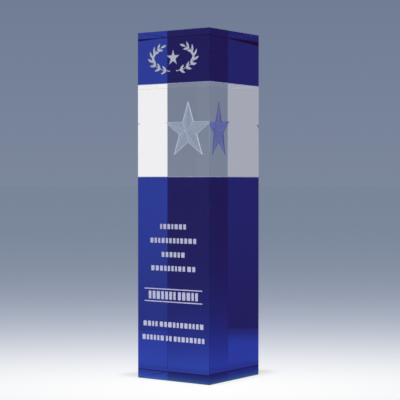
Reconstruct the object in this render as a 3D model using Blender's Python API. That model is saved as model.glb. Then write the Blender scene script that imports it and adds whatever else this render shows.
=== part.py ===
"""A tall square crystal award column, built from three bonded optical-glass blocks.

Frame: the origin is the centre of the resting face, +Z is up, the inscribed front face
looks along -Y and the column's right side along +X. All lengths are in metres.
From the bottom up: a cobalt lower block, a clear middle block with a star engraved
inside it, and a cobalt top block. A film of clear adhesive lies in each of the two
bond lines. The front carries an etched inscription and emblem, each filled with white.
"""

import math

import bmesh
import bpy

MM = 0.001

# Column: a square bar of optical glass, made of three blocks.
SECTION = 63.5 * MM
HEIGHT = 250.0 * MM
LOWER_BOND_Z = 145.75 * MM
UPPER_BOND_Z = 212.3 * MM
CHAMFER = 0.7 * MM
HALF = SECTION / 2

# Bond lines: an adhesive film with a working gap above and below it.
BOND_FILM = 0.3 * MM
FIT_GAP = 0.3 * MM

# Star engraved inside the clear block: a five-pointed star with a raised centre.
STAR_RADIUS = 21.4 * MM
STAR_RELIEF = 6.0 * MM
STAR_RIM = 0.6 * MM
STAR_CAVITY_SCALE = 1.055
STAR_POINTS = 5
NOTCH_RATIO = math.cos(math.radians(72)) / math.cos(math.radians(36))
VENT_WIDTH = 0.5 * MM

# Etched marks in the front face, and the white infill that sits in them.
ETCH_DEPTH = 0.9 * MM
INFILL_DEPTH = 0.5 * MM
INFILL_RECESS = 0.1 * MM

# Inscription: bars stand where the words are, one bar for each word.
CAP_HEIGHT = 3.8 * MM
NAME_CAP_HEIGHT = 5.8 * MM
WORD_GAP = 1.8 * MM
WORD_CORNER = 0.5 * MM
CORNER_STEPS = 3
# Each row: its name, the height of its centre, its bar height, and its bar widths.
INSCRIPTION_ROWS = (
    ("row_1", 110.3 * MM, CAP_HEIGHT, (23.0 * MM,)),
    ("row_2", 100.3 * MM, CAP_HEIGHT, (40.6 * MM,)),
    ("row_3", 90.3 * MM, CAP_HEIGHT, (20.4 * MM,)),
    ("row_4", 80.4 * MM, CAP_HEIGHT, (30.2 * MM, 7.0 * MM)),
    ("name_row", 61.0 * MM, NAME_CAP_HEIGHT, (24.2 * MM, 17.6 * MM)),
    ("row_5", 40.2 * MM, CAP_HEIGHT, (12.8 * MM, 38.4 * MM)),
    ("row_6", 30.3 * MM, CAP_HEIGHT, (19.2 * MM, 5.2 * MM, 26.8 * MM)),
)
RULE_WIDTH = 51.2 * MM
RULE_HEIGHT = 0.9 * MM
RULE_CORNER = 0.2 * MM
RULES = (("name_rule_upper", 65.5 * MM), ("name_rule_lower", 56.5 * MM))

# Emblem on the top block: two laurel branches round a small star.
EMBLEM_Z = 230.3 * MM
WREATH_HALF_WIDTH = 18.6 * MM
WREATH_HALF_HEIGHT = 9.4 * MM
WREATH_START = math.radians(262)
WREATH_END = math.radians(122)
STEM_WIDTH = 0.9 * MM
STEM_STEPS = 20
LEAF_PAIRS = 7
LEAF_LENGTH = 5.6 * MM
LEAF_WIDTH = 2.0 * MM
LEAF_STEPS = 4
LEAF_SPLAY = math.radians(34)
EMBLEM_STAR_RADIUS = 6.2 * MM

COBALT = (0.012, 0.018, 0.235)
CLEAR = (0.80, 0.85, 0.90)
ADHESIVE = (0.86, 0.90, 0.95)
FROST = (0.52, 0.60, 0.78)
INFILL = (0.85, 0.87, 0.93)


def clear_scene():
    for obj in list(bpy.data.objects):
        bpy.data.objects.remove(obj, do_unlink=True)


def make_material(name, colour, roughness, transmission=0.0):
    material = bpy.data.materials.new(name)
    material.use_nodes = True
    shader = material.node_tree.nodes["Principled BSDF"]
    shader.inputs["Base Color"].default_value = (*colour, 1.0)
    shader.inputs["Roughness"].default_value = roughness
    shader.inputs["Metallic"].default_value = 0.0
    shader.inputs["Transmission Weight"].default_value = transmission
    material.diffuse_color = (*colour, 1.0)
    return material


def object_from_bmesh(name, bm, material):
    """Close the bmesh into an object of this name in the scene's collection."""
    bmesh.ops.recalc_face_normals(bm, faces=bm.faces[:])
    mesh = bpy.data.meshes.new(name)
    bm.to_mesh(mesh)
    bm.free()
    if material is not None:
        mesh.materials.append(material)
    obj = bpy.data.objects.new(name, mesh)
    bpy.context.scene.collection.objects.link(obj)
    return obj


def as_cutter(obj):
    """A cutter only shapes other objects, so it isn't rendered."""
    obj.hide_render = True
    obj.display_type = "WIRE"
    return obj


def add_boolean(obj, other, operation):
    modifier = obj.modifiers.new(f"{operation.lower()}_{other.name}", "BOOLEAN")
    modifier.operation = operation
    modifier.solver = "EXACT"
    modifier.object = other
    modifier.use_self = operation == "UNION"
    return modifier


def column_slab(name, z_low, z_high, material, chamfer_low=False, chamfer_high=False):
    """A slab of the column's section, with its upright edges chamfered and, where asked, its ends."""
    bm = bmesh.new()
    bmesh.ops.create_cube(bm, size=1.0)
    middle = (z_low + z_high) / 2
    for vertex in bm.verts:
        vertex.co.x *= SECTION
        vertex.co.y *= SECTION
        vertex.co.z = vertex.co.z * (z_high - z_low) + middle
    sharp = []
    for edge in bm.edges:
        heights = [vertex.co.z > middle for vertex in edge.verts]
        upright = heights[0] != heights[1]
        at_high_end = all(heights) and chamfer_high
        at_low_end = not any(heights) and chamfer_low
        if upright or at_high_end or at_low_end:
            sharp.append(edge)
    bmesh.ops.bevel(bm, geom=sharp, offset=CHAMFER, offset_type="OFFSET", segments=1, affect="EDGES")
    return object_from_bmesh(name, bm, material)


def prism(name, outlines, y_front, y_back, material=None):
    """Each outline of (x, z) points, extruded from the front plane back into the glass."""
    bm = bmesh.new()
    for outline in outlines:
        front = [bm.verts.new((x, y_front, z)) for x, z in outline]
        back = [bm.verts.new((x, y_back, z)) for x, z in outline]
        bm.faces.new(front)
        bm.faces.new(list(reversed(back)))
        count = len(outline)
        for i in range(count):
            j = (i + 1) % count
            bm.faces.new((front[j], front[i], back[i], back[j]))
    return object_from_bmesh(name, bm, material)


def infill_prism(name, outlines, material):
    """White infill, just below the front face and clear of the pocket's floor."""
    y_front = -HALF + INFILL_RECESS
    return prism(name, outlines, y_front, y_front + INFILL_DEPTH, material)


def pocket_prism(name, outlines):
    """The etched pocket's cutter, which starts in front of the face."""
    return as_cutter(prism(name, outlines, -HALF - ETCH_DEPTH, -HALF + ETCH_DEPTH))


def rounded_rectangle(centre_x, centre_z, width, height, corner):
    points = []
    signs = ((1, 1), (-1, 1), (-1, -1), (1, -1))
    for quarter, (sign_x, sign_z) in enumerate(signs):
        hub_x = centre_x + sign_x * (width / 2 - corner)
        hub_z = centre_z + sign_z * (height / 2 - corner)
        for step in range(CORNER_STEPS + 1):
            angle = math.pi / 2 * (quarter + step / CORNER_STEPS)
            points.append((hub_x + corner * math.cos(angle), hub_z + corner * math.sin(angle)))
    return points


def star_outline(centre_x, centre_z, radius):
    """A regular five-pointed star with one point up."""
    points = []
    for i in range(2 * STAR_POINTS):
        angle = math.pi / 2 + math.pi * i / STAR_POINTS
        reach = radius if i % 2 == 0 else radius * NOTCH_RATIO
        points.append((centre_x + reach * math.cos(angle), centre_z + reach * math.sin(angle)))
    return points


def faceted_star(name, centre_z, scale, material):
    """A star whose facets rise from a thin rim to an apex in front and an apex behind."""
    bm = bmesh.new()
    outline = star_outline(0.0, centre_z, STAR_RADIUS * scale)
    rim = STAR_RIM / 2 * scale
    front = [bm.verts.new((x, -rim, z)) for x, z in outline]
    back = [bm.verts.new((x, rim, z)) for x, z in outline]
    front_apex = bm.verts.new((0.0, -STAR_RELIEF * scale, centre_z))
    back_apex = bm.verts.new((0.0, STAR_RELIEF * scale, centre_z))
    count = len(outline)
    for i in range(count):
        j = (i + 1) % count
        bm.faces.new((front[i], front[j], front_apex))
        bm.faces.new((back[j], back[i], back_apex))
        bm.faces.new((front[j], front[i], back[i], back[j]))
    return object_from_bmesh(name, bm, material)


def cut_star_cavity(block, centre_z, z_high):
    """The hollow that the star fills, with a hair vent from its top point to the bond line."""
    cavity = as_cutter(faceted_star("cutter_star", centre_z, STAR_CAVITY_SCALE, None))
    add_boolean(block, cavity, "DIFFERENCE")
    vent_low = centre_z + STAR_RADIUS * 0.9
    vent_high = z_high + 2 * FIT_GAP
    vent_outline = rounded_rectangle(
        0.0, (vent_low + vent_high) / 2, VENT_WIDTH, vent_high - vent_low, VENT_WIDTH / 4
    )
    vent = as_cutter(prism("cutter_vent", [vent_outline], -VENT_WIDTH / 2, VENT_WIDTH / 2))
    add_boolean(block, vent, "DIFFERENCE")


def wreath_point(side, along, offset=0.0):
    """A point on the branch's ellipse; side is -1 for the left branch, +1 for the right."""
    angle = WREATH_START + (WREATH_END - WREATH_START) * along
    x = (WREATH_HALF_WIDTH + offset) * math.cos(angle)
    z = (WREATH_HALF_HEIGHT + offset) * math.sin(angle)
    return (-side * x, EMBLEM_Z + z)


def stem_outline(side, grow):
    """The branch's stem: a band along the ellipse, which narrows towards its tip."""
    outer = []
    inner = []
    for i in range(STEM_STEPS + 1):
        along = i / STEM_STEPS
        half = STEM_WIDTH / 2 * (1 - 0.5 * along) + grow
        outer.append(wreath_point(side, along, half))
        inner.append(wreath_point(side, along, -half))
    return outer + list(reversed(inner))


def leaf_outline(root, heading, grow):
    """A pointed leaf between two arcs, from its root along its heading."""
    length = LEAF_LENGTH + 2 * grow
    start = -grow
    upper = []
    lower = []
    for i in range(LEAF_STEPS + 1):
        share = i / LEAF_STEPS
        reach = start + length * share
        half = (LEAF_WIDTH / 2 + grow) * math.sin(math.pi * (0.08 + 0.92 * share))
        for points, sign in ((upper, 1), (lower, -1)):
            x = root[0] + reach * math.cos(heading) - sign * half * math.sin(heading)
            z = root[1] + reach * math.sin(heading) + sign * half * math.cos(heading)
            points.append((x, z))
    upper.pop()
    return upper + list(reversed(lower))


def branch_leaves(side, grow):
    """Leaves in pairs along the branch, splayed to both sides, and one leaf at its tip."""
    leaves = []
    for i in range(LEAF_PAIRS):
        along = (i + 0.55) / (LEAF_PAIRS + 0.45)
        root = wreath_point(side, along)
        ahead = wreath_point(side, along + 0.02)
        heading = math.atan2(ahead[1] - root[1], ahead[0] - root[0])
        for turn in (-1, 1):
            leaves.append(leaf_outline(root, heading + turn * LEAF_SPLAY, grow))
    root = wreath_point(side, 0.97)
    ahead = wreath_point(side, 1.0)
    heading = math.atan2(ahead[1] - root[1], ahead[0] - root[0])
    leaves.append(leaf_outline(root, heading, grow))
    return leaves


def add_laurel_branch(block, name, side, infill):
    """One laurel branch of the emblem, and its pocket in the block."""
    leaves = infill_prism(name, branch_leaves(side, 0.0), infill)
    stem = as_cutter(infill_prism(f"stem_of_{name}", [stem_outline(side, 0.0)], None))
    add_boolean(leaves, stem, "UNION")
    pocket = pocket_prism(f"cutter_{name}", branch_leaves(side, FIT_GAP))
    pocket_stem = pocket_prism(f"cutter_stem_{name}", [stem_outline(side, FIT_GAP)])
    add_boolean(pocket, pocket_stem, "UNION")
    add_boolean(block, pocket, "DIFFERENCE")


def add_emblem_star(block, infill):
    infill_prism("emblem_star", [star_outline(0.0, EMBLEM_Z, EMBLEM_STAR_RADIUS)], infill)
    line_distance = EMBLEM_STAR_RADIUS * math.cos(math.radians(72))
    grown = EMBLEM_STAR_RADIUS * (line_distance + FIT_GAP) / line_distance
    pocket = pocket_prism("cutter_emblem_star", [star_outline(0.0, EMBLEM_Z, grown)])
    add_boolean(block, pocket, "DIFFERENCE")


def add_bar(block, name, centre_x, centre_z, width, height, corner, infill):
    """One etched bar: its white infill, and its pocket in the block."""
    bar = rounded_rectangle(centre_x, centre_z, width, height, corner)
    infill_prism(name, [bar], infill)
    pocket_outline = rounded_rectangle(
        centre_x, centre_z, width + 2 * FIT_GAP, height + 2 * FIT_GAP, corner + FIT_GAP
    )
    pocket = pocket_prism(f"cutter_{name}", [pocket_outline])
    add_boolean(block, pocket, "DIFFERENCE")


def add_inscription(block, infill):
    """Rows of word bars, each row centred on the face, and a rule above and below the name."""
    for row_name, z, height, widths in INSCRIPTION_ROWS:
        row_width = sum(widths) + WORD_GAP * (len(widths) - 1)
        left = -row_width / 2
        for number, width in enumerate(widths, start=1):
            name = f"{row_name}_word_{number}"
            add_bar(block, name, left + width / 2, z, width, height, WORD_CORNER, infill)
            left += width + WORD_GAP
    for name, z in RULES:
        add_bar(block, name, 0.0, z, RULE_WIDTH, RULE_HEIGHT, RULE_CORNER, infill)


def add_bond(name, z, adhesive):
    """The adhesive film, centred in its bond line."""
    column_slab(name, z - BOND_FILM / 2, z + BOND_FILM / 2, adhesive)


def build_award():
    cobalt = make_material("cobalt_glass", COBALT, 0.03, 0.9)
    clear = make_material("clear_glass", CLEAR, 0.02, 0.95)
    adhesive = make_material("clear_adhesive", ADHESIVE, 0.05, 0.95)
    frost = make_material("frosted_engraving", FROST, 0.55, 0.3)
    infill = make_material("white_infill", INFILL, 0.5)

    bond_half = BOND_FILM / 2 + FIT_GAP
    lower = column_slab("lower_block", 0.0, LOWER_BOND_Z - bond_half, cobalt, chamfer_low=True)
    clear_low = LOWER_BOND_Z + bond_half
    clear_high = UPPER_BOND_Z - bond_half
    middle = column_slab("clear_block", clear_low, clear_high, clear)
    top = column_slab("top_block", UPPER_BOND_Z + bond_half, HEIGHT, cobalt, chamfer_high=True)
    add_bond("lower_bond", LOWER_BOND_Z, adhesive)
    add_bond("upper_bond", UPPER_BOND_Z, adhesive)

    star_z = (clear_low + clear_high) / 2
    faceted_star("star_engraving", star_z, 1.0, frost)
    cut_star_cavity(middle, star_z, clear_high)

    add_laurel_branch(top, "laurel_left", -1, infill)
    add_laurel_branch(top, "laurel_right", 1, infill)
    add_emblem_star(top, infill)
    add_inscription(lower, infill)


clear_scene()
build_award()
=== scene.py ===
"""Looks for the bonded crystal award column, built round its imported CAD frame.

The column stands on a pale floor that fades to a blue-grey studio. Its three glass blocks are
real refracting solids with coloured absorption, cut with the etched pockets that hold the
white infill. Lengths are in metres, in the CAD frame: +Z up, the inscribed face along -Y.
"""

import math
import random

import bmesh
import bpy
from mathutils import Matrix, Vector


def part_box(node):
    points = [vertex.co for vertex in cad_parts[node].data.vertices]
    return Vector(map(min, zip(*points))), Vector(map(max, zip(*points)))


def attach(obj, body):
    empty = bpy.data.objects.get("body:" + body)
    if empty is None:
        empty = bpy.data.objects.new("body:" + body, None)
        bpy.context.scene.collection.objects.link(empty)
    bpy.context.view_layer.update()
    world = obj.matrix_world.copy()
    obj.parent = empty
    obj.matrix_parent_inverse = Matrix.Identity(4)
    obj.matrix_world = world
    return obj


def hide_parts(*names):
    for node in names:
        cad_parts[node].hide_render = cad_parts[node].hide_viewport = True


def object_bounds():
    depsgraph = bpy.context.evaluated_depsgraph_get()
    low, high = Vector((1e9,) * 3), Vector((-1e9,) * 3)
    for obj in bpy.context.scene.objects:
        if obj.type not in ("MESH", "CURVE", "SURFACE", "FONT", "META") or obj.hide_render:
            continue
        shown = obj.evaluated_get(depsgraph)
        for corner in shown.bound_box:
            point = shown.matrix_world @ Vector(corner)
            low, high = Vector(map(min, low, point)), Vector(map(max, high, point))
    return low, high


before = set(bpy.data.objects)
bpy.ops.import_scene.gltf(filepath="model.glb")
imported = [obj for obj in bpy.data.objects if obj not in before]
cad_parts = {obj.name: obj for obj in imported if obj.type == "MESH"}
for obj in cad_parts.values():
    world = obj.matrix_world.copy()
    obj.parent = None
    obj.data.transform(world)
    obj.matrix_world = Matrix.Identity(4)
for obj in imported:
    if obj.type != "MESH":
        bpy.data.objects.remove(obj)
cad_low, cad_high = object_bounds()

MM = 0.001
BODY = "root"

# The column's faces, read from the CAD frame.
HALF = cad_high.x
FRONT_Y = cad_low.y
TOP_Z = cad_high.z

# Camera: about level with the lower bond line, seen from the column's front right.
CAMERA_AZIMUTH = math.radians(35.36)
CAMERA_DISTANCE = 0.9618
CAMERA_HEIGHT = 0.1422
CAMERA_SIDESTEP = 0.0009
CAMERA_PITCH = math.radians(-0.79)
CAMERA_LENS = 118.4
CAMERA_SENSOR = 36.0

# Glass.
GLASS_IOR = 1.52
EDGE_CHAMFER = 0.32 * MM
SEAM_CHAMFER = 0.04 * MM
SEAM_AIR = 0.05 * MM
COBALT_ABSORPTION = (0.13, 0.376, 0.775)
COBALT_DENSITY = 70.0
CLEAR_ABSORPTION = (0.60, 0.78, 0.74)
CLEAR_DENSITY = 1.0
CHAMFER_ROUGHNESS = 0.35
RESTING_FACE_ROUGHNESS = 0.12
RESTING_FACE_HEIGHT = 0.05 * MM
# The resting face's painted glow: how strong it is, and its tint.
RESTING_FACE_PAINTED_GLOW = 0.18
RESTING_FACE_PAINTED_GLOW_TINT = (0.20, 0.60, 1.0, 1.0)
FLAT_NORMAL = 0.95

# Finishes: colours are linear light.
WHITE_DARK, WHITE_LIGHT, WHITE_ROUGHNESS = (0.58, 0.57, 0.74), (0.70, 0.69, 0.88), 0.55
SILVER_DARK, SILVER_LIGHT, SILVER_ROUGHNESS = (0.74, 0.75, 0.84), (0.86, 0.87, 0.94), 0.40
GRAIN_SCALE = 1400.0
GRAIN_DETAIL = 3.0
BUMP_STRENGTH = 0.25
BUMP_HEIGHT = 0.05 * MM
BOND_COLOUR = (0.70, 0.72, 0.95, 1.0)
BOND_ROUGHNESS = 0.35
BOND_ALPHA = 0.5
# The bond lines' painted glow: its colour and strength.
BOND_PAINTED_GLOW_COLOUR = (0.55, 0.58, 1.0, 1.0)
BOND_PAINTED_GLOW = 0.07
ENGRAVING_BASE = (0.02, 0.02, 0.04, 1.0)
ENGRAVING_ROUGHNESS = 0.7
ENGRAVING_GRAIN_SCALE = 700.0
ENGRAVING_GRAIN_DETAIL = 4.0
# How far from pale to violet the cracks' painted glow is, by their Layer Weight facing value: a painted
# sheen.
EDGE_ON_RANGE = (0.16, 0.40)
# Each engraving's painted glow: its pale colour, its violet colour, and how opaque it is.
FACET_PAINTED_GLOW = ((0.33, 0.40, 0.52), (0.070, 0.10, 0.42), 0.36)
LINE_PAINTED_GLOW = ((0.66, 0.72, 0.92), (0.03, 0.04, 0.22), 0.9)
RIDGE_PAINTED_GLOW = ((0.48, 0.54, 0.70), (0.05, 0.06, 0.28), 0.55)

# Etched pockets and their infill. The infill laps the pocket's walls, as it is bonded to them.
TEXT_POCKET = 0.35 * MM
EMBLEM_POCKET = 0.60 * MM
INFILL_LAP = 0.01 * MM
INFILL_RECESS = 0.06 * MM
TILE_BEVEL = 0.14 * MM
TILE_GAP = 1.0 * MM
TILE_WIDTHS = (1.9 * MM, 3.1 * MM)
TILE_CORNER = 0.35 * MM
RULE_CORNER = 0.2 * MM
CORNER_STEPS = 4
TILE_SEED = 11

# Emblem: two laurel branches round a small star, laid out as in the CAD model.
WREATH_HALF_WIDTH = 18.6 * MM
WREATH_HALF_HEIGHT = 9.4 * MM
WREATH_START = math.radians(262)
WREATH_END = math.radians(122)
STEM_WIDTH = 0.9 * MM
STEM_STEPS = 24
LEAF_PAIRS = 7
LEAF_LENGTH = 5.6 * MM
LEAF_WIDTH = 2.0 * MM
LEAF_STEPS = 8
LEAF_SPLAY = math.radians(34)
# Gaps before the first pair and after the last, as parts of the spacing of the pairs.
FIRST_LEAF_GAP = 0.55
LAST_LEAF_GAP = 0.45
# How far ahead on the branch a leaf takes its aim, and where the tip's leaf sits.
PAIR_LOOK_AHEAD = 0.02
TIP_LOOK_AHEAD = 0.03
TIP_LEAF_PLACE = 0.97
# A leaf's outline starts this far along its half sine, so that it has a width at its root.
LEAF_ROOT_PHASE = 0.08
LEAF_RIM_DEPTH = 0.38 * MM
LEAST_HALF_WIDTH = 0.04 * MM
STAR_POINTS = 5
NOTCH_RATIO = math.cos(math.radians(72)) / math.cos(math.radians(36))

# Star inside the clear block: rods along its outline and its ridges, as the laser draws them.
STAR_APEX = 6.0 * MM
OUTLINE_ROD = 0.34 * MM
FADE_START = 4.0 * MM
FADE_END = 20.0 * MM
EDGE_ON_SHARES = (1.15, 0.42)
# How much the star's facets are painted lighter facing left and darker facing right: painted shade.
PAINTED_SHADE_CONTRAST = 0.22
RIDGE_ROD = 0.13 * MM
ROD_SIDES = 8
# How wide each of the star's five lines is drawn: right, top, left, lower left, lower right.
LINE_WEIGHTS = (1.0, 0.26, 0.66, 0.34, 0.40)

# Wall: how high a direction points, and its colour there.
WALL_STOPS = (
    (0.0, (124, 135, 156)),
    (0.137, (113, 125, 149)),
    (0.30, (117, 129, 151)),
    (0.60, (200, 205, 214)),
    (1.0, (235, 238, 244)),
)
# The room that the faces mirror: its two colours, and where it fades, as parts of a direction.
ROOM_LEFT = (0.31, 0.080, 0.004, 1.0)
ROOM_RIGHT = (0.18, 0.038, 0.002, 1.0)
ROOM_SIDES = (-0.6, 0.6)
ROOM_FOOT = (-0.185, -0.155)
ROOM_HEAD = (0.118, 0.135)
ROOM_SPREAD = (0.86, 0.94)

# Floor.
FLOOR_RADIUS = 40.0
# The floor's painted pool of light: its colour round the column and far from it.
FLOOR_NEAR = (254, 254, 254)
FLOOR_FAR = (121, 133, 153)
# Where red, green and blue have fallen halfway from the near colour to the far one.
FLOOR_HALF_REACH = (0.280, 0.288, 0.328)
FLOOR_FALLOFF = 1.85
FLOOR_DROP = 0.2 * MM
POOL_SHIFT = 0.060
POOL_WIDTH_SHARE = 0.5
# The floor is brighter by this much seen through the glass, fading out over this range.
POOL_GAIN = 1.35
POOL_GAIN_RANGE = (0.08, 0.45)
# Painted shade round the base, shifted behind the column: its shift, reach and depth.
SHADOW_SHIFT = 0.016
SHADOW_REACH = 0.020
SHADOW_DEPTH = 0.22

# Upright cards seen only through the glass: (offset across, height of the top) at each end.
CARD_DISTANCE = 0.28
CARD_FADE_HEIGHT = 0.13
CARD_FOOT_SHADE = 0.68
CARD_FOOT_REACH = 0.13
CARD_FOOT_OFFSET = -0.032
WHITE_CARD_ENDS = ((0.020, 0.2716), (-0.075, 0.2853))
GREY_CARD_ENDS = ((0.020, 0.2655), (-0.075, 0.2903))
DARK_GAP_TOP = 0.33
WHITE_CARD_COLOUR = (244, 243, 246)
GREY_CARD_COLOUR = (174, 178, 191)
WHITE_CARD_STRENGTH = (0.76, 1.05)
GREY_CARD_STRENGTH = (0.80, 1.0)
WHITE_GAP_COLOUR = (0.02, 0.05, 0.22, 1.0)
GREY_GAP_COLOUR = (0.0, 0.05, 0.13, 1.0)

# Softboxes: name, place, size in metres and power in watts.
SOFTBOXES = (
    ("low_softbox", (0.05, -0.20, 0.015), 0.10, 0.065),
    ("front_softbox", (0.22, -0.50, 0.08), 0.40, 0.33),
)
SOFTBOX_TARGET_Z = 0.13


# ---------------------------------------------------------------- mesh helpers

def object_from_bmesh(name, bm, material):
    """Turn the bmesh into a mesh object of this name, with one material."""
    bmesh.ops.recalc_face_normals(bm, faces=bm.faces[:])
    mesh = bpy.data.meshes.new(name)
    bm.to_mesh(mesh)
    bm.free()
    if material is not None:
        mesh.materials.append(material)
    obj = bpy.data.objects.new(name, mesh)
    bpy.context.scene.collection.objects.link(obj)
    return obj


def apply_modifiers(obj):
    """Bake the object's modifiers into its mesh, so that the cutters can go."""
    depsgraph = bpy.context.evaluated_depsgraph_get()
    baked = bpy.data.meshes.new_from_object(obj.evaluated_get(depsgraph))
    obj.modifiers.clear()
    old = obj.data
    obj.data = baked
    bpy.data.meshes.remove(old)


def join_rings(bm, ring, following):
    """Faces between two rings of vertices that have the same count."""
    count = len(ring)
    for i in range(count):
        j = (i + 1) % count
        bm.faces.new((ring[j], ring[i], following[i], following[j]))


def add_layers(bm, layers):
    """A closed solid through layers, each an outline of (x, z) points and its y."""
    rings = []
    for outline, y in layers:
        rings.append([bm.verts.new((x, y, z)) for x, z in outline])
    bm.faces.new(rings[0])
    bm.faces.new(list(reversed(rings[-1])))
    for ring, following in zip(rings, rings[1:]):
        join_rings(bm, ring, following)


def add_rod(bm, start, end, radius):
    """A round rod between two points."""
    axis = (end - start).normalized()
    across = axis.orthogonal().normalized()
    other = axis.cross(across)
    rings = []
    for centre in (start, end):
        ring = []
        for i in range(ROD_SIDES):
            angle = math.tau * i / ROD_SIDES
            outward = across * math.cos(angle) + other * math.sin(angle)
            ring.append(bm.verts.new(centre + radius * outward))
        rings.append(ring)
    bm.faces.new(rings[0])
    bm.faces.new(list(reversed(rings[1])))
    join_rings(bm, rings[0], rings[1])


def rounded_rectangle(centre_x, centre_z, width, height, corner):
    points = []
    signs = ((1, 1), (-1, 1), (-1, -1), (1, -1))
    for quarter, (sign_x, sign_z) in enumerate(signs):
        hub_x = centre_x + sign_x * (width / 2 - corner)
        hub_z = centre_z + sign_z * (height / 2 - corner)
        for step in range(CORNER_STEPS + 1):
            angle = math.pi / 2 * (quarter + step / CORNER_STEPS)
            points.append((hub_x + corner * math.cos(angle), hub_z + corner * math.sin(angle)))
    return points


def star_outline(centre_z, radius):
    """A regular five-pointed star with one point up."""
    points = []
    for i in range(2 * STAR_POINTS):
        angle = math.pi / 2 + math.pi * i / STAR_POINTS
        reach = radius if i % 2 == 0 else radius * NOTCH_RATIO
        points.append((reach * math.cos(angle), centre_z + reach * math.sin(angle)))
    return points


def glass_slab(name, z_low, z_high, low_chamfer, high_chamfer, material):
    """A slab of the column's section with chamfered edges."""
    bm = bmesh.new()
    weight = bm.edges.layers.float.new("bevel_weight_edge")
    bmesh.ops.create_cube(bm, size=1.0)
    middle = (z_low + z_high) / 2
    for vertex in bm.verts:
        vertex.co.x *= 2 * HALF
        vertex.co.y *= 2 * HALF
        vertex.co.z = vertex.co.z * (z_high - z_low) + middle
    for edge in bm.edges:
        heights = [vertex.co.z > middle for vertex in edge.verts]
        width = EDGE_CHAMFER
        if heights[0] == heights[1]:
            width = high_chamfer if heights[0] else low_chamfer
        edge[weight] = width / EDGE_CHAMFER
    obj = object_from_bmesh(name, bm, material)
    bevel = obj.modifiers.new("chamfer", "BEVEL")
    bevel.limit_method = "WEIGHT"
    bevel.width = EDGE_CHAMFER
    bevel.segments = 1
    apply_modifiers(obj)
    return obj


def cut_pockets(block, outlines, depth):
    """Etch pockets of these outlines into the block's front face."""
    bm = bmesh.new()
    for outline in outlines:
        add_layers(bm, ((outline, FRONT_Y - depth), (outline, FRONT_Y + depth)))
    cutter = object_from_bmesh("cutter", bm, None)
    boolean = block.modifiers.new("etch", "BOOLEAN")
    boolean.operation = "DIFFERENCE"
    boolean.solver = "EXACT"
    boolean.use_self = True
    boolean.object = cutter
    apply_modifiers(block)
    bpy.data.objects.remove(cutter, do_unlink=True)


# ------------------------------------------------------------------ node helpers

def new_material(name):
    material = bpy.data.materials.new(name)
    material.use_nodes = True
    tree = material.node_tree
    return material, tree, tree.nodes["Principled BSDF"]


def srgb(red, green, blue):
    """A display colour, 0 to 255, as linear light."""
    linear = []
    for value in (red, green, blue):
        share = value / 255
        linear.append(share / 12.92 if share <= 0.04045 else ((share + 0.055) / 1.055) ** 2.4)
    return (*linear, 1.0)


def put(tree, socket, value):
    """Link an output to the socket, or set a plain value on it."""
    if isinstance(value, bpy.types.NodeSocket):
        tree.links.new(value, socket)
    else:
        socket.default_value = value


def math_node(tree, operation, first, second=0.0):
    node = tree.nodes.new("ShaderNodeMath")
    node.operation = operation
    put(tree, node.inputs[0], first)
    put(tree, node.inputs[1], second)
    return node.outputs["Value"]


def vector_node(tree, operation, first, second=(0.0, 0.0, 0.0)):
    node = tree.nodes.new("ShaderNodeVectorMath")
    node.operation = operation
    put(tree, node.inputs[0], first)
    put(tree, node.inputs[1], second)
    return node.outputs["Value" if operation in ("LENGTH", "DISTANCE", "DOT_PRODUCT") else "Vector"]


def map_node(tree, value, from_low, from_high, to_low=0.0, to_high=1.0):
    """Map a value smoothly from one range to another, and clamp it."""
    node = tree.nodes.new("ShaderNodeMapRange")
    node.interpolation_type = "SMOOTHSTEP"
    put(tree, node.inputs["Value"], value)
    node.inputs["From Min"].default_value = from_low
    node.inputs["From Max"].default_value = from_high
    node.inputs["To Min"].default_value = to_low
    node.inputs["To Max"].default_value = to_high
    return node.outputs["Result"]


def mix_colour(tree, factor, first, second):
    node = tree.nodes.new("ShaderNodeMix")
    node.data_type = "RGBA"
    put(tree, node.inputs["Factor"], factor)
    put(tree, node.inputs[6], first)
    put(tree, node.inputs[7], second)
    return node.outputs[2]


def split_node(tree, vector):
    node = tree.nodes.new("ShaderNodeSeparateXYZ")
    tree.links.new(vector, node.inputs["Vector"])
    return node.outputs


def coordinates_node(tree, kind):
    return tree.nodes.new("ShaderNodeTexCoord").outputs[kind]


def noise_node(tree, scale, detail):
    noise = tree.nodes.new("ShaderNodeTexNoise")
    noise.inputs["Scale"].default_value = scale
    noise.inputs["Detail"].default_value = detail
    tree.links.new(coordinates_node(tree, "Object"), noise.inputs["Vector"])
    return noise.outputs["Fac"]


def ramp_node(tree, factor, stops):
    """A colour ramp through (position, colour) stops."""
    ramp = tree.nodes.new("ShaderNodeValToRGB")
    elements = ramp.color_ramp.elements
    elements.remove(elements[-1])
    elements[0].position, elements[0].color = stops[0]
    for position, colour in stops[1:]:
        element = elements.new(position)
        element.color = colour
    tree.links.new(factor, ramp.inputs["Fac"])
    return ramp.outputs["Color"]


# ------------------------------------------------------------------- materials

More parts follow.
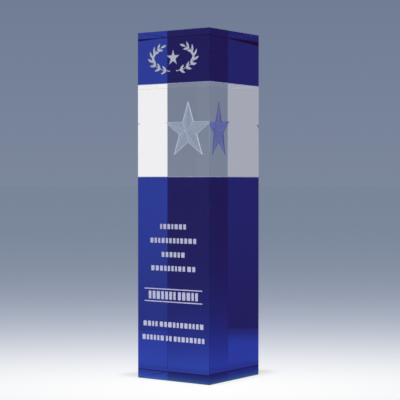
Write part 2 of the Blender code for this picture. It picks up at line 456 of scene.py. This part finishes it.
def glass_material(name, absorption, density):
    """Polished glass round an absorbing volume: satin chamfers, and a resting face painted with a faint
    blue glow.
    """
    material, tree, shader = new_material(name)
    shader.inputs["Base Color"].default_value = (1.0, 1.0, 1.0, 1.0)
    shader.inputs["IOR"].default_value = GLASS_IOR
    shader.inputs["Transmission Weight"].default_value = 1.0
    normal = split_node(tree, vector_node(tree, "ABSOLUTE", coordinates_node(tree, "Normal")))
    flattest = math_node(tree, "MAXIMUM", normal["X"], math_node(tree, "MAXIMUM", normal["Y"], normal["Z"]))
    chamfer = math_node(tree, "LESS_THAN", flattest, FLAT_NORMAL)
    height = split_node(tree, coordinates_node(tree, "Object"))["Z"]
    resting = math_node(tree, "LESS_THAN", height, RESTING_FACE_HEIGHT)
    satin = math_node(tree, "MULTIPLY", chamfer, CHAMFER_ROUGHNESS)
    ground = math_node(tree, "MULTIPLY", resting, RESTING_FACE_ROUGHNESS)
    tree.links.new(math_node(tree, "MAXIMUM", satin, ground), shader.inputs["Roughness"])
    # Painted glow: the resting face glows faintly blue, though it is no lamp.
    shader.inputs["Emission Color"].default_value = RESTING_FACE_PAINTED_GLOW_TINT
    glow = math_node(tree, "MULTIPLY", resting, RESTING_FACE_PAINTED_GLOW)
    tree.links.new(glow, shader.inputs["Emission Strength"])
    volume = tree.nodes.new("ShaderNodeVolumeAbsorption")
    volume.inputs["Color"].default_value = (*absorption, 1.0)
    volume.inputs["Density"].default_value = density
    tree.links.new(volume.outputs["Volume"], tree.nodes["Material Output"].inputs["Volume"])
    return material


def infill_material(name, dark, light, roughness):
    """Enamel with a slightly uneven, matt surface."""
    material, tree, shader = new_material(name)
    grain = noise_node(tree, GRAIN_SCALE, GRAIN_DETAIL)
    colour = ramp_node(tree, grain, ((0.3, (*dark, 1.0)), (0.7, (*light, 1.0))))
    tree.links.new(colour, shader.inputs["Base Color"])
    shader.inputs["Roughness"].default_value = roughness
    bump = tree.nodes.new("ShaderNodeBump")
    bump.inputs["Strength"].default_value = BUMP_STRENGTH
    bump.inputs["Distance"].default_value = BUMP_HEIGHT
    tree.links.new(grain, bump.inputs["Height"])
    tree.links.new(bump.outputs["Normal"], shader.inputs["Normal"])
    return material


def bond_material(name):
    """Cured adhesive: a milky, see-through line, with a faint painted violet glow."""
    material, _, shader = new_material(name)
    shader.inputs["Base Color"].default_value = BOND_COLOUR
    shader.inputs["Roughness"].default_value = BOND_ROUGHNESS
    shader.inputs["Alpha"].default_value = BOND_ALPHA
    shader.inputs["Emission Color"].default_value = BOND_PAINTED_GLOW_COLOUR
    shader.inputs["Emission Strength"].default_value = BOND_PAINTED_GLOW
    return material


def engraving_material(name, painted_glow, centre_z):
    """Laser-marked glass drawn as a painted glow: pale face on and violet edge on, a painted sheen, fading
    to the tips.
    """
    painted_light_pool, violet, alpha = painted_glow
    material, tree, shader = new_material(name)
    # The cracks' light is painted: an emission that turns from pale to violet by viewing angle, a painted
    # sheen.
    painted_sheen = tree.nodes.new("ShaderNodeLayerWeight")
    painted_sheen.inputs["Blend"].default_value = 0.5
    crack_plane = tree.nodes.new("ShaderNodeCombineXYZ")
    crack_plane.inputs["Y"].default_value = -1.0
    tree.links.new(crack_plane.outputs["Vector"], painted_sheen.inputs["Normal"])
    edge_on = map_node(tree, painted_sheen.outputs["Facing"], *EDGE_ON_RANGE)
    colour = mix_colour(tree, edge_on, (*painted_light_pool, 1.0), (*violet, 1.0))
    noise = noise_node(tree, ENGRAVING_GRAIN_SCALE, ENGRAVING_GRAIN_DETAIL)
    grain = map_node(tree, noise, 0.35, 0.65, 0.90, 1.10)
    shader.inputs["Base Color"].default_value = ENGRAVING_BASE
    shader.inputs["Roughness"].default_value = ENGRAVING_ROUGHNESS
    shader.inputs["Specular IOR Level"].default_value = 0.0
    tree.links.new(colour, shader.inputs["Emission Color"])
    # Painted shade: facets facing left glow brighter, facets facing right dimmer.
    sideways = split_node(tree, coordinates_node(tree, "Normal"))["X"]
    painted_facet_shade = math_node(tree, "MULTIPLY", sideways, -PAINTED_SHADE_CONTRAST)
    painted_facet_light = math_node(tree, "ADD", painted_facet_shade, 1.0)
    tree.links.new(math_node(tree, "MULTIPLY", grain, painted_facet_light), shader.inputs["Emission Strength"])
    height = split_node(tree, coordinates_node(tree, "Object"))["Z"]
    from_middle = math_node(tree, "ABSOLUTE", math_node(tree, "SUBTRACT", height, centre_z))
    fade = map_node(tree, from_middle, FADE_START, FADE_END, *EDGE_ON_SHARES)
    change = math_node(tree, "MULTIPLY", math_node(tree, "SUBTRACT", fade, 1.0), edge_on)
    share = math_node(tree, "ADD", change, 1.0)
    tree.links.new(math_node(tree, "MULTIPLY", share, alpha), shader.inputs["Alpha"])
    return material


# ----------------------------------------------------------------- the studio

def make_camera():
    heading = Vector((-math.sin(CAMERA_AZIMUTH), math.cos(CAMERA_AZIMUTH), 0.0))
    right = Vector((math.cos(CAMERA_AZIMUTH), math.sin(CAMERA_AZIMUTH), 0.0))
    data = bpy.data.cameras.new("camera")
    data.lens = CAMERA_LENS
    data.sensor_width = CAMERA_SENSOR
    data.clip_start = 0.05
    data.clip_end = 200.0
    camera = bpy.data.objects.new("camera", data)
    place = right * CAMERA_SIDESTEP - heading * CAMERA_DISTANCE
    camera.location = (place.x, place.y, CAMERA_HEIGHT)
    look = heading * math.cos(CAMERA_PITCH) + Vector((0.0, 0.0, math.sin(CAMERA_PITCH)))
    camera.rotation_mode = "QUATERNION"
    camera.rotation_quaternion = look.to_track_quat("-Z", "Y")
    bpy.context.scene.collection.objects.link(camera)
    bpy.context.scene.camera = camera
    return heading


def make_world():
    """Blue-grey wall and a soft white ceiling. Two sides mirror a dim warm room in the glass."""
    world = bpy.data.worlds.new("studio")
    world.use_nodes = True
    tree = world.node_tree
    direction = split_node(tree, coordinates_node(tree, "Generated"))
    stops = [(height, srgb(*colour)) for height, colour in WALL_STOPS]
    studio = ramp_node(tree, direction["Z"], stops)
    side = map_node(tree, direction["X"], *ROOM_SIDES)
    room = mix_colour(tree, side, ROOM_LEFT, ROOM_RIGHT)
    below = map_node(tree, direction["Z"], *ROOM_FOOT)
    above = map_node(tree, direction["Z"], *ROOM_HEAD, 1.0, 0.0)
    mirror_axis = (math.sin(CAMERA_AZIMUTH), math.cos(CAMERA_AZIMUTH), 0.0)
    along = vector_node(tree, "DOT_PRODUCT", coordinates_node(tree, "Generated"), mirror_axis)
    ahead = map_node(tree, math_node(tree, "ABSOLUTE", along), *ROOM_SPREAD)
    level = math_node(tree, "MULTIPLY", math_node(tree, "MULTIPLY", below, above), ahead)
    path = tree.nodes.new("ShaderNodeLightPath").outputs
    mirrored = math_node(tree, "SUBTRACT", path["Is Glossy Ray"], path["Is Transmission Ray"])
    factor = math_node(tree, "MULTIPLY", level, math_node(tree, "MAXIMUM", mirrored, 0.0))
    tree.links.new(mix_colour(tree, factor, studio, room), tree.nodes["Background"].inputs["Color"])
    bpy.context.scene.world = world


def emission_surface(tree, colour, strength=1.0):
    tree.nodes.remove(tree.nodes["Principled BSDF"])
    glow = tree.nodes.new("ShaderNodeEmission")
    put(tree, glow.inputs["Color"], colour)
    put(tree, glow.inputs["Strength"], strength)
    tree.links.new(glow.outputs["Emission"], tree.nodes["Material Output"].inputs["Surface"])


def make_floor(heading):
    """A pale floor with a painted pool of light, white round the column and blue-grey far from it, and
    painted soft shade behind the column.
    """
    bm = bmesh.new()
    bmesh.ops.create_circle(bm, cap_ends=True, segments=96, radius=FLOOR_RADIUS)
    material, tree, _ = new_material("floor")
    place = coordinates_node(tree, "Object")
    turned = tree.nodes.new("ShaderNodeVectorRotate")
    turned.rotation_type = "Z_AXIS"
    turned.inputs["Angle"].default_value = -CAMERA_AZIMUTH
    tree.links.new(vector_node(tree, "ADD", place, heading * POOL_SHIFT), turned.inputs["Vector"])
    oval = vector_node(tree, "MULTIPLY", turned.outputs["Vector"], (POOL_WIDTH_SHARE, 1.0, 0.0))
    reach = vector_node(tree, "LENGTH", oval)
    spread = tree.nodes.new("ShaderNodeCombineXYZ")
    for socket in spread.inputs:
        tree.links.new(reach, socket)
    falloff = vector_node(tree, "DIVIDE", spread.outputs["Vector"], FLOOR_HALF_REACH)
    falloff = vector_node(tree, "POWER", falloff, (FLOOR_FALLOFF,) * 3)
    ones = (1.0, 1.0, 1.0)
    weight = vector_node(tree, "DIVIDE", ones, vector_node(tree, "ADD", falloff, ones))
    # Painted pool of light: the floor fades from white round the column to blue-grey.
    far = Vector(srgb(*FLOOR_FAR)[:3])
    near = Vector(srgb(*FLOOR_NEAR)[:3])
    painted_light_pool = vector_node(tree, "ADD", vector_node(tree, "MULTIPLY", weight, near - far), far)
    # Painted contact shade round the base, shifted behind the column.
    shaded = vector_node(tree, "SUBTRACT", place, heading * SHADOW_SHIFT)
    beyond = vector_node(tree, "SUBTRACT", vector_node(tree, "ABSOLUTE", shaded), (HALF, HALF, 0.0))
    outside = vector_node(tree, "MAXIMUM", beyond, (0.0, 0.0, 0.0))
    gap = split_node(tree, outside)
    gap_length = math_node(tree, "SQRT", math_node(
        tree, "ADD", math_node(tree, "POWER", gap["X"], 2.0), math_node(tree, "POWER", gap["Y"], 2.0)))
    light = map_node(tree, gap_length, 0.0, SHADOW_REACH, 1.0 - SHADOW_DEPTH, 1.0)
    # Seen only through the glass, the floor is painted brighter, and painted shade falls round the grey
    # card's foot.
    through_glass = tree.nodes.new("ShaderNodeLightPath").outputs["Is Transmission Ray"]
    gain = map_node(tree, reach, *POOL_GAIN_RANGE, POOL_GAIN - 1.0, 0.0)
    toward_grey_card = Vector((-math.sin(CAMERA_AZIMUTH), -math.cos(CAMERA_AZIMUTH), 0.0))
    across = Vector((math.cos(CAMERA_AZIMUTH), -math.sin(CAMERA_AZIMUTH), 0.0))
    card_foot = toward_grey_card * CARD_DISTANCE + across * CARD_FOOT_OFFSET
    from_foot = vector_node(tree, "DISTANCE", place, card_foot)
    foot = map_node(tree, from_foot, 0.0, CARD_FOOT_REACH, -CARD_FOOT_SHADE, 0.0)
    change = math_node(tree, "MULTIPLY", math_node(tree, "ADD", gain, foot), through_glass)
    gain = math_node(tree, "ADD", change, 1.0)
    emission_surface(tree, painted_light_pool, math_node(tree, "MULTIPLY", light, gain))
    floor = object_from_bmesh("floor", bm, material)
    floor.location.z = -FLOOR_DROP
    floor.visible_glossy = False


def make_card(name, colour, strength, away, ends):
    """An upright card seen only through the glass, from its (offset, foot, top) ends."""
    across = Vector((math.cos(CAMERA_AZIMUTH), -math.sin(CAMERA_AZIMUTH), 0.0))
    (near, near_foot, near_top), (far, far_foot, far_top) = ends
    bm = bmesh.new()
    corners = []
    for offset, height in ((near, near_foot), (near, near_top), (far, far_top), (far, far_foot)):
        place = away * CARD_DISTANCE + across * offset
        corners.append(bm.verts.new((place.x, place.y, height)))
    bm.faces.new(corners)
    material, tree, _ = new_material(name)
    height = split_node(tree, coordinates_node(tree, "Object"))["Z"]
    emission_surface(tree, colour, map_node(tree, height, 0.0, CARD_FADE_HEIGHT, *strength))
    card = object_from_bmesh(name, bm, material)
    card.visible_camera = False
    card.visible_diffuse = False
    card.visible_glossy = False
    card.visible_shadow = False


def make_cards():
    """A white card behind to the right, and a grey one in front to the left, dark above their tops."""
    away = Vector((math.sin(CAMERA_AZIMUTH), math.cos(CAMERA_AZIMUTH), 0.0))
    white = (WHITE_CARD_ENDS, WHITE_CARD_COLOUR, WHITE_CARD_STRENGTH, WHITE_GAP_COLOUR)
    grey = (GREY_CARD_ENDS, GREY_CARD_COLOUR, GREY_CARD_STRENGTH, GREY_GAP_COLOUR)
    for name, side, (card_ends, colour, strength, gap_colour) in (
        ("white_card", away, white),
        ("grey_card", -away, grey),
    ):
        card = [(offset, 0.0, top) for offset, top in card_ends]
        gap = [(offset, top, DARK_GAP_TOP) for offset, top in card_ends]
        make_card(name, srgb(*colour), strength, side, card)
        make_card(f"{name}_dark_gap", gap_colour, (1.0, 1.0), side, gap)


def make_lights():
    """Softboxes in front of the inscription, which the glass doesn't mirror."""
    for name, place, size, power in SOFTBOXES:
        data = bpy.data.lights.new(name, "AREA")
        data.size = size
        data.energy = power
        light = bpy.data.objects.new(name, data)
        light.location = place
        aim = Vector((0.0, FRONT_Y, SOFTBOX_TARGET_Z)) - light.location
        light.rotation_mode = "QUATERNION"
        light.rotation_quaternion = aim.to_track_quat("-Z", "Y")
        light.visible_camera = False
        light.visible_glossy = False
        light.visible_transmission = False
        bpy.context.scene.collection.objects.link(light)


# ------------------------------------------------------------------ the award

def keep_piece(obj, slot, *nodes):
    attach(obj, BODY)
    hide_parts(*nodes)


def seam_limits():
    """The heights of each bond line's lower and upper edge, from the CAD films."""
    limits = []
    for node in ("lower_bond", "upper_bond"):
        low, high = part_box(node)
        limits.append((low.z - SEAM_AIR, high.z + SEAM_AIR))
    return limits


def make_blocks(cobalt, clear):
    (lower_top, clear_bottom), (clear_top, top_bottom) = seam_limits()
    lower = glass_slab("lower_glass", 0.0, lower_top, EDGE_CHAMFER, SEAM_CHAMFER, cobalt)
    middle = glass_slab("clear_glass", clear_bottom, clear_top, SEAM_CHAMFER, SEAM_CHAMFER, clear)
    top = glass_slab("top_glass", top_bottom, TOP_Z, SEAM_CHAMFER, EDGE_CHAMFER, cobalt)
    keep_piece(lower, "cobalt_glass", "lower_block")
    keep_piece(middle, "clear_glass", "clear_block")
    keep_piece(top, "cobalt_glass", "top_block")
    return lower, top


def tile_row(node, rng):
    """Tiles of random widths that fill a word's place: (centre x, centre z, width, height)."""
    low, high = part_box(node)
    length = high.x - low.x
    mean = sum(TILE_WIDTHS) / 2
    count = max(2, round((length + TILE_GAP) / (mean + TILE_GAP)))
    widths = [rng.uniform(*TILE_WIDTHS) for _ in range(count)]
    scale = (length - TILE_GAP * (count - 1)) / sum(widths)
    tiles = []
    left = low.x
    for width in widths:
        width *= scale
        tiles.append((left + width / 2, (low.z + high.z) / 2, width, high.z - low.z))
        left += width + TILE_GAP
    return tiles


def add_tile(bm, tile, corner):
    """One tile of infill with a bevelled front edge; returns its pocket's outline."""
    x, z, width, height = tile
    face = rounded_rectangle(x, z, width - 2 * TILE_BEVEL, height - 2 * TILE_BEVEL, corner - TILE_BEVEL)
    body = rounded_rectangle(x, z, width, height, corner)
    front = FRONT_Y + INFILL_RECESS
    add_layers(bm, (
        (face, front),
        (body, front + TILE_BEVEL),
        (body, FRONT_Y + TEXT_POCKET + INFILL_LAP),
    ))
    return rounded_rectangle(
        x, z, width - 2 * INFILL_LAP, height - 2 * INFILL_LAP, corner - INFILL_LAP
    )


def make_inscription(block, white):
    """Rows of small tiles stand where the words are, with a bar for each rule."""
    rng = random.Random(TILE_SEED)
    pockets = []
    for node in sorted(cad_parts):
        if "_word_" in node:
            tiles = tile_row(node, rng)
            corner = TILE_CORNER
            name = f"{node}_tiles"
        elif node.startswith("name_rule"):
            low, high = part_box(node)
            middle = (low + high) / 2
            tiles = [(middle.x, middle.z, high.x - low.x, high.z - low.z)]
            corner = RULE_CORNER
            name = f"{node}_bar"
        else:
            continue
        bm = bmesh.new()
        for tile in tiles:
            pockets.append(add_tile(bm, tile, corner))
        keep_piece(object_from_bmesh(name, bm, white), "white_infill", node)
    cut_pockets(block, pockets, TEXT_POCKET)


def add_keeled_band(bm, stations):
    """A relief with a ridge, from (left, ridge, right) points; returns its pocket's outline."""
    ridge_y = FRONT_Y + INFILL_RECESS
    rim_y = FRONT_Y + LEAF_RIM_DEPTH
    floor_y = FRONT_Y + EMBLEM_POCKET + INFILL_LAP
    rings = []
    for left, ridge, right in stations:
        ring = []
        section = (
            (left, floor_y),
            (left, rim_y),
            (ridge, ridge_y),
            (right, rim_y),
            (right, floor_y),
        )
        for (x, z), y in section:
            ring.append(bm.verts.new((x, y, z)))
        rings.append(ring)
    bm.faces.new(rings[0])
    bm.faces.new(list(reversed(rings[-1])))
    for ring, following in zip(rings, rings[1:]):
        join_rings(bm, ring, following)
    return [left for left, _, _ in stations] + [right for _, _, right in reversed(stations)]


def wreath_point(side, along, offset=0.0):
    """A point on the branch's ellipse; side is -1 for the left branch, +1 for the right."""
    angle = WREATH_START + (WREATH_END - WREATH_START) * along
    x = (WREATH_HALF_WIDTH + offset) * math.cos(angle)
    z = (WREATH_HALF_HEIGHT + offset) * math.sin(angle)
    return (-side * x, emblem_z + z)


def stem_stations(side):
    stations = []
    for i in range(STEM_STEPS + 1):
        along = i / STEM_STEPS
        half = STEM_WIDTH / 2 * (1 - 0.5 * along)
        stations.append(tuple(wreath_point(side, along, offset) for offset in (half, 0.0, -half)))
    return stations


def leaf_stations(root, heading):
    """A pointed leaf from its root along its heading."""
    stations = []
    for i in range(LEAF_STEPS + 1):
        share = i / LEAF_STEPS
        phase = LEAF_ROOT_PHASE + (1.0 - LEAF_ROOT_PHASE) * share
        half = max(LEAST_HALF_WIDTH, LEAF_WIDTH / 2 * math.sin(math.pi * phase))
        reach = LEAF_LENGTH * share
        station = []
        for offset in (half, 0.0, -half):
            x = root[0] + reach * math.cos(heading) - offset * math.sin(heading)
            z = root[1] + reach * math.sin(heading) + offset * math.cos(heading)
            station.append((x, z))
        stations.append(tuple(station))
    return stations


def branch_leaves(side):
    """Leaves in pairs along the branch, splayed to both sides, and one leaf at its tip."""
    pair = (-LEAF_SPLAY, LEAF_SPLAY)
    places = []
    for i in range(LEAF_PAIRS):
        along = (i + FIRST_LEAF_GAP) / (LEAF_PAIRS + LAST_LEAF_GAP)
        places.append((along, PAIR_LOOK_AHEAD, pair))
    places.append((TIP_LEAF_PLACE, TIP_LOOK_AHEAD, (0.0,)))
    leaves = []
    for along, ahead, turns in places:
        root = wreath_point(side, along)
        aim = wreath_point(side, along + ahead)
        heading = math.atan2(aim[1] - root[1], aim[0] - root[0])
        for turn in turns:
            leaves.append(leaf_stations(root, heading + turn))
    return leaves


def make_emblem(block, silver):
    """The laurel wreath and its star, in relief inside etched pockets."""
    pockets = []
    for node, side in (("laurel_left", -1), ("laurel_right", 1)):
        bm = bmesh.new()
        for stations in [stem_stations(side)] + branch_leaves(side):
            pockets.append(add_keeled_band(bm, stations))
        keep_piece(object_from_bmesh(f"{node}_relief", bm, silver), "white_infill", node)
    outline = star_outline(emblem_z, emblem_radius)
    bm = bmesh.new()
    rings = []
    for depth in (EMBLEM_POCKET + INFILL_LAP, LEAF_RIM_DEPTH):
        rings.append([bm.verts.new((x, FRONT_Y + depth, z)) for x, z in outline])
    apex = bm.verts.new((0.0, FRONT_Y + INFILL_RECESS, emblem_z))
    bm.faces.new(rings[0])
    join_rings(bm, rings[0], rings[1])
    for i, vertex in enumerate(rings[1]):
        bm.faces.new((vertex, rings[1][(i + 1) % len(outline)], apex))
    pockets.append(outline)
    keep_piece(object_from_bmesh("emblem_star_relief", bm, silver), "white_infill", "emblem_star")
    cut_pockets(block, pockets, EMBLEM_POCKET)


def make_star_lines(line_look, ridge_look, centre_z, radius):
    """Bright rods along the engraved star's outline, and fine ones along its front ridges."""
    points = [Vector((x, 0.0, z)) for x, z in star_outline(centre_z, radius - OUTLINE_ROD)]
    count = len(points)
    bm = bmesh.new()
    for i, start in enumerate(points):
        end = points[(i + 1) % count]
        from_tip = i % 2 == 0
        line = (i // 2 + 2 if from_tip else (i + 1) // 2) % STAR_POINTS
        add_rod(bm, start, end, OUTLINE_ROD * LINE_WEIGHTS[line])
    outline = object_from_bmesh("star_outline", bm, line_look)
    bm = bmesh.new()
    apex = Vector((0.0, -STAR_APEX + RIDGE_ROD, centre_z))
    for point in points:
        add_rod(bm, apex, point, RIDGE_ROD)
    ridges = object_from_bmesh("star_ridges", bm, ridge_look)
    for piece in (outline, ridges):
        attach(piece, BODY)


def dress_node(name, material):
    """Give a CAD node that stays in sight its finished material."""
    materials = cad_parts[name].data.materials
    materials.clear()
    materials.append(material)


scene = bpy.context.scene
scene.view_settings.view_transform = "Standard"
scene.cycles.max_bounces = 32
scene.cycles.transmission_bounces = 32
scene.cycles.glossy_bounces = 24
scene.cycles.transparent_max_bounces = 24

heading = make_camera()
make_world()
make_floor(heading)
make_cards()
make_lights()

emblem_star_low, emblem_star_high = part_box("emblem_star")
emblem_radius = (emblem_star_high.x - emblem_star_low.x) / (2 * math.cos(math.radians(18)))
emblem_z = emblem_star_high.z - emblem_radius

star_low, star_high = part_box("star_engraving")
star_radius = (star_high.x - star_low.x) / (2 * math.cos(math.radians(18)))
star_z = star_high.z - star_radius

cobalt_glass = glass_material("cobalt_glass_look", COBALT_ABSORPTION, COBALT_DENSITY)
clear_glass = glass_material("clear_glass_look", CLEAR_ABSORPTION, CLEAR_DENSITY)
white_enamel = infill_material("white_enamel", WHITE_DARK, WHITE_LIGHT, WHITE_ROUGHNESS)
silver_enamel = infill_material("silver_enamel", SILVER_DARK, SILVER_LIGHT, SILVER_ROUGHNESS)
adhesive = bond_material("adhesive_look")
facet_look = engraving_material("star_facets_look", FACET_PAINTED_GLOW, star_z)
line_look = engraving_material("star_lines_look", LINE_PAINTED_GLOW, star_z)
ridge_look = engraving_material("star_ridges_look", RIDGE_PAINTED_GLOW, star_z)

lower_glass, top_glass = make_blocks(cobalt_glass, clear_glass)
make_inscription(lower_glass, white_enamel)
make_emblem(top_glass, silver_enamel)
make_star_lines(line_look, ridge_look, star_z, star_radius)
dress_node("star_engraving", facet_look)
dress_node("lower_bond", adhesive)
dress_node("upper_bond", adhesive)
